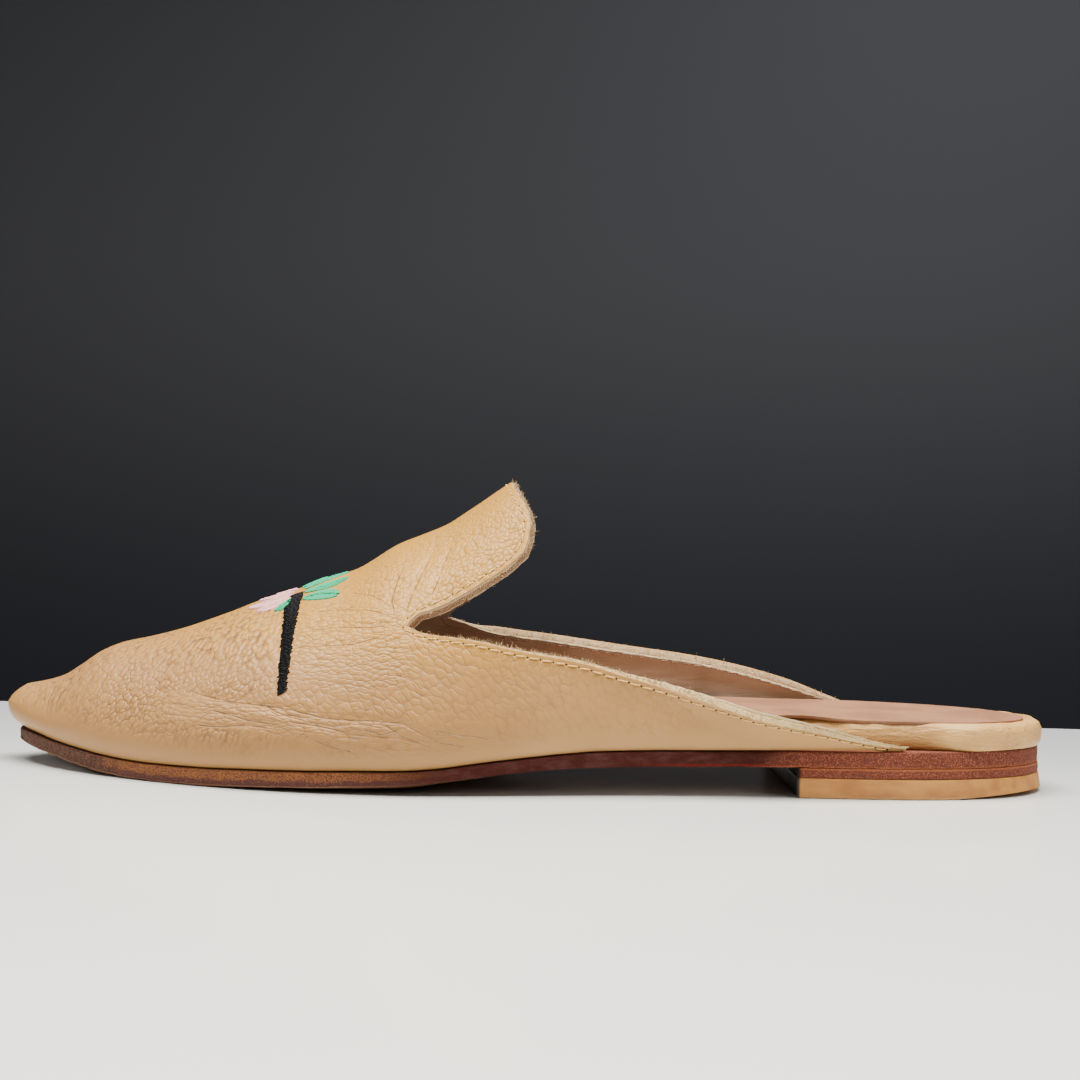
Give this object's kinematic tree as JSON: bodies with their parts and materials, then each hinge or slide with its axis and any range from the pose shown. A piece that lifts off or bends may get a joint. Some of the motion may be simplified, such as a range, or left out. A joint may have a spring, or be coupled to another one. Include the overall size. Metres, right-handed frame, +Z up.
{
  "type": "backless leather mule shoe",
  "caption": "Flat backless leather slip-on for the left foot, with a soft pointed vamp, a raised tab over the instep, low side wings and a low stacked heel.",
  "frame": {"origin": "on the ground plane, under the middle of the shoe's box", "axes": "-X towards the toe, -Y towards the outer (lateral) side, +Z up from the ground"},
  "size_m": [0.2631, 0.0816, 0.0742],
  "materials": {
    "sole_leather": "waxed, scuffed",
    "heel_rubber": "satin, worn",
    "rand_leather": "smooth satin",
    "lining_leather": "matt",
    "camel_leather": "pebbled satin"
  },
  "bodies": {
    "root": {"outsole": "sole_leather", "heel_lift": "sole_leather", "heel_top_piece": "heel_rubber", "insole": "rand_leather", "sock": "lining_leather", "upper": "camel_leather"}
  },
  "joints": []
}
